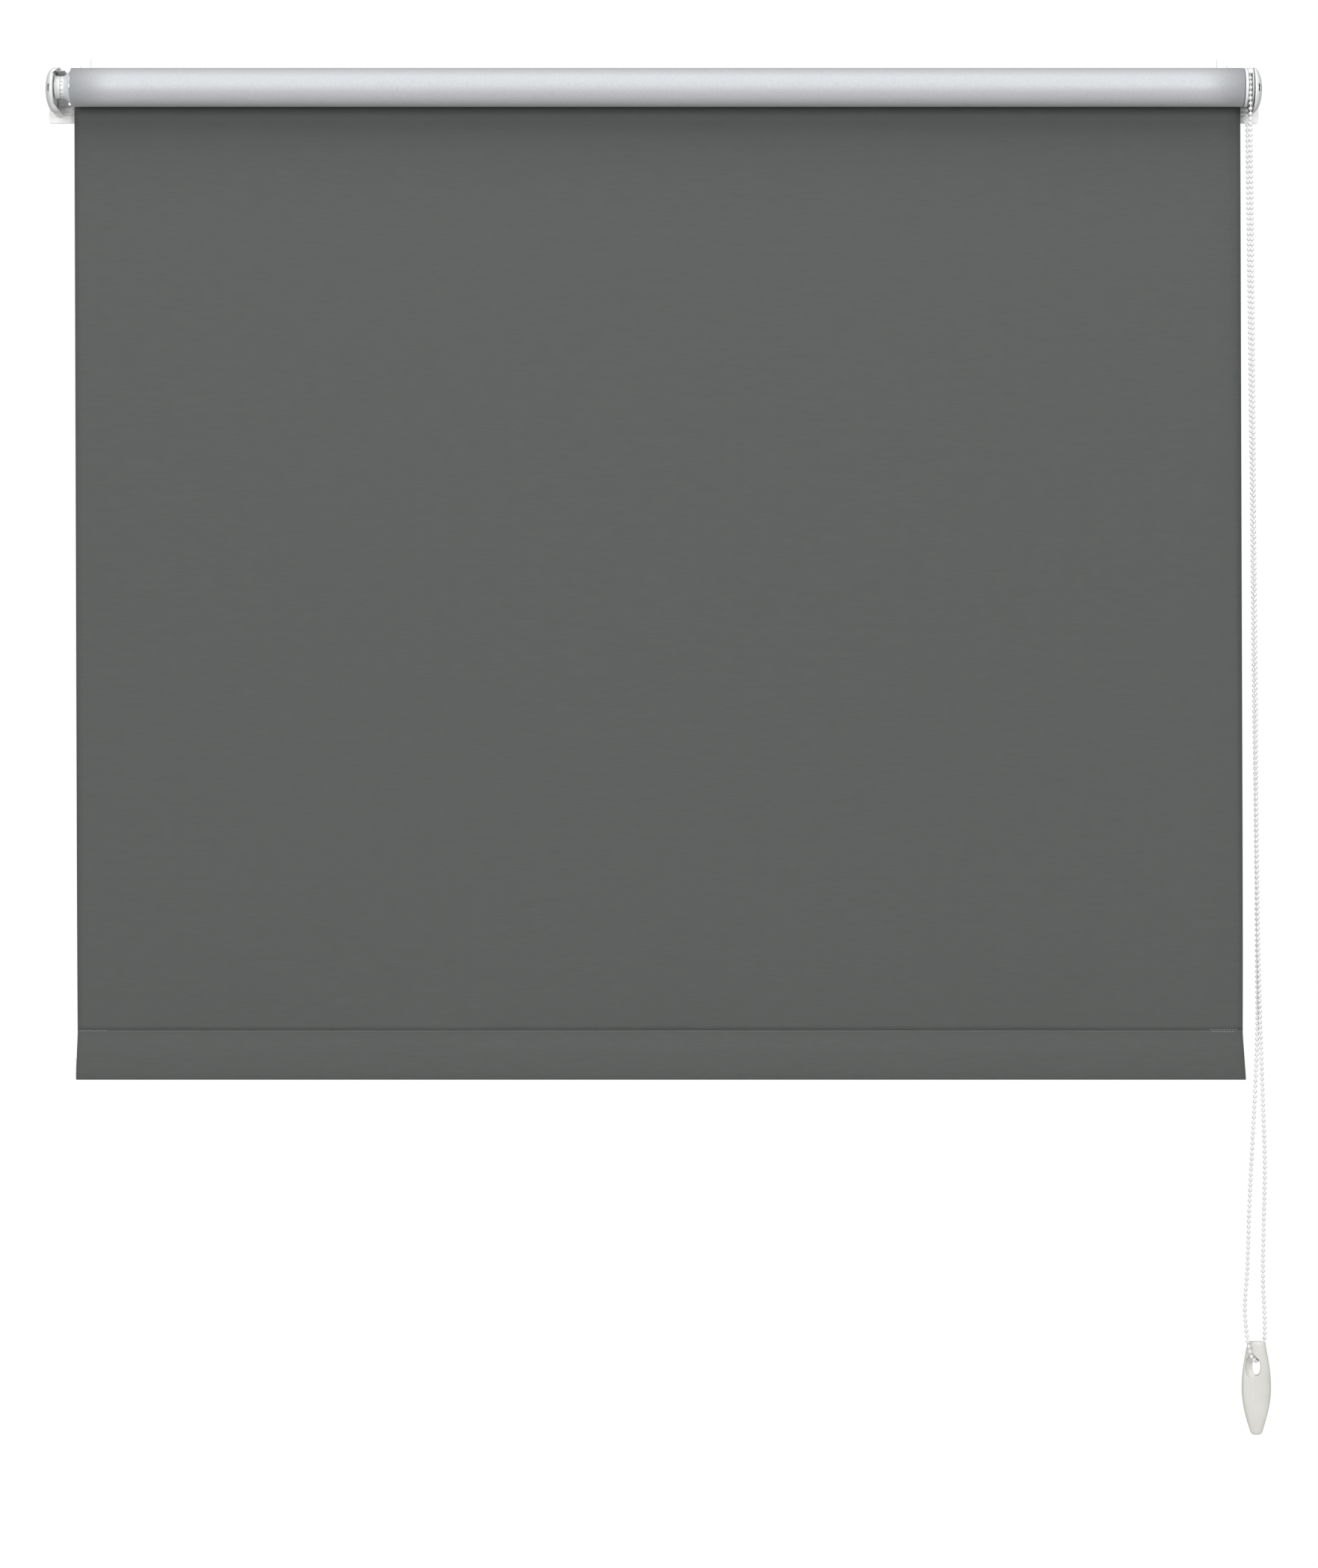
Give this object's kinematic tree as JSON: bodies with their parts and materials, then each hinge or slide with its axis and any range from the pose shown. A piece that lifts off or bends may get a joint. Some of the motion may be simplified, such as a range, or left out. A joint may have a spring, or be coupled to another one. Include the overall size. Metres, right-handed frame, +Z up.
{
  "type": "roller blind",
  "caption": "Chain operated roller blind: tube in two clip-cover wall brackets, coated blackout cloth with a weighted hem pocket, and a bead chain loop with a pull handle.",
  "frame": {"origin": "centre of the four wall screw holes, on the wall plane behind the brackets", "axes": "+Z up, +X towards the chain side as seen from the room, +Y into the wall; the room is on -Y"},
  "size_m": [1.4123, 0.061, 1.5916],
  "materials": {
    "bracket_plastic": "white moulded plastic, fine satin",
    "cover_plastic": "white moulded plastic, soft gloss",
    "tube_metal": "mill finish aluminium tube",
    "tape": "double-sided adhesive tape",
    "fabric_coating": "silver blackout coating on woven polyester",
    "fabric_face": "dark grey woven polyester",
    "bar_metal": "extruded aluminium flat bar",
    "steel": "turned steel pin",
    "spring_steel": "drawn spring wire",
    "inner_plastic": "natural white moulded plastic",
    "collar_plastic": "silver-grey moulded plastic",
    "chain_plastic": "white plastic beads on a polyester string",
    "handle_plastic": "ivory-white moulded plastic, satin"
  },
  "bodies": {
    "brackets": {"left_bracket": "bracket_plastic", "right_bracket": "bracket_plastic", "left_cover": "cover_plastic", "right_cover": "cover_plastic", "clutch_hub": "inner_plastic", "clutch_guard": "cover_plastic", "clutch_springs": "spring_steel", "hub_clip": "spring_steel"},
    "roller": {"tube": "tube_metal", "fixing_tape": "tape", "fabric_roll": "fabric_coating", "idle_plug": "inner_plastic", "idle_flange": "cover_plastic", "idle_adjuster_ring": "cover_plastic", "idle_collar": "collar_plastic", "clutch_core": "inner_plastic", "clutch_adaptor": "inner_plastic"},
    "chain_wheel": {"chain_wheel": "cover_plastic"},
    "hem": {"fabric_drop": "fabric_face", "hem_pocket": "fabric_face", "hem_bar": "bar_metal", "hem_bar_caps": "cover_plastic"},
    "idle_pin": {"idle_pin": "steel", "idle_pin_spring": "spring_steel"},
    "chain_loop": {"bead_chain": "chain_plastic"},
    "handle": {"handle": "handle_plastic"}
  },
  "joints": [
    {"name": "roller_turn", "type": "hinge", "parent": "brackets", "child": "roller", "pos_m": [0, -0.033, -0.0014], "axis": [1, 0, 0], "range_deg": [-1940, 2660]},
    {"name": "chain_wheel_turn", "type": "hinge", "parent": "brackets", "child": "chain_wheel", "pos_m": [0.6855, -0.033, -0.0014], "axis": [1, 0, 0], "range_deg": [-1945, 2665]},
    {"name": "hem_travel", "type": "slide", "parent": "brackets", "child": "hem", "axis": [0, 0, 1], "range_m": [-0.76, 1.042], "deforming": ["fabric_drop"]},
    {"name": "idle_pin_press", "type": "slide", "parent": "brackets", "child": "idle_pin", "axis": [1, 0, 0], "range_m": [0, 0.005], "stiffness_N_per_m": 400, "springref_m": -0.01, "deforming": ["idle_pin_spring"]},
    {"name": "chain_swing", "type": "hinge", "parent": "brackets", "child": "chain_loop", "pos_m": [0.6855, -0.033, -0.0014], "axis": [1, 0, 0], "range_deg": [-25, 0.8]},
    {"name": "handle_swing", "type": "hinge", "parent": "chain_loop", "child": "handle", "pos_m": [0.6945, -0.033, -1.4712], "axis": [0, 1, 0], "range_deg": [-8, 8]}
  ],
  "couplings": [
    {"joint": "chain_wheel_turn", "follows": "roller_turn", "ratio": 1},
    {"joint": "hem_travel", "follows": "roller_turn", "m_per_rad": 0.0224}
  ]
}
